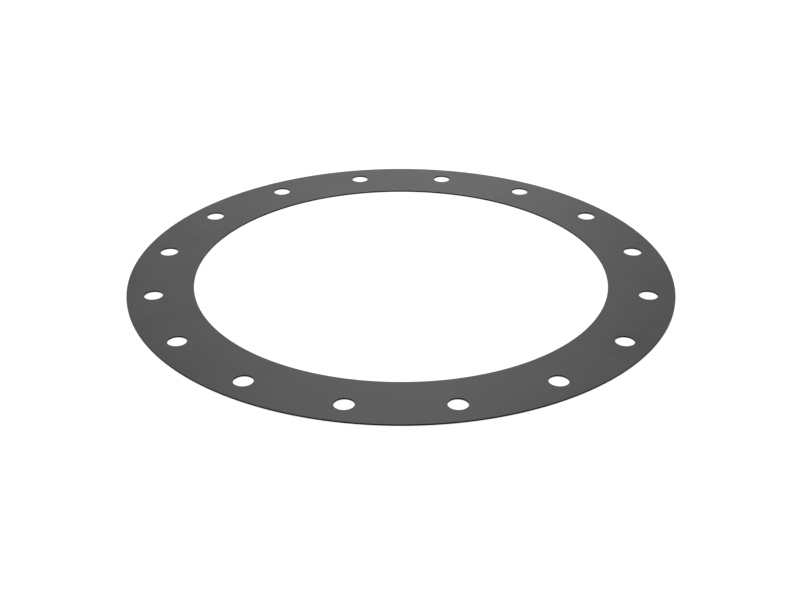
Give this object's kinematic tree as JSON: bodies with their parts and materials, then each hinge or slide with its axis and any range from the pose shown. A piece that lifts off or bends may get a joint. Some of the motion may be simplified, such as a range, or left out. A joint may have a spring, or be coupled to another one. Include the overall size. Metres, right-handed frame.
{
  "type": "rubber flange gasket",
  "caption": "Flat full-face ring gasket cut from thin dark grey sheet rubber, with a wide bore and an even circle of bolt holes near its rim; it seals two flat bolted flanges.",
  "frame": {"origin": "on the ring's axis, in the plane of its lower face", "axes": "+Z is the ring's axis, from the lower face to the upper one; +X and +Y each point half way between two bolt holes"},
  "size_m": [0.6599, 0.66, 0.002],
  "materials": {
    "rubber": "matte"
  },
  "bodies": {
    "root": {"gasket_ring": "rubber"}
  },
  "joints": []
}
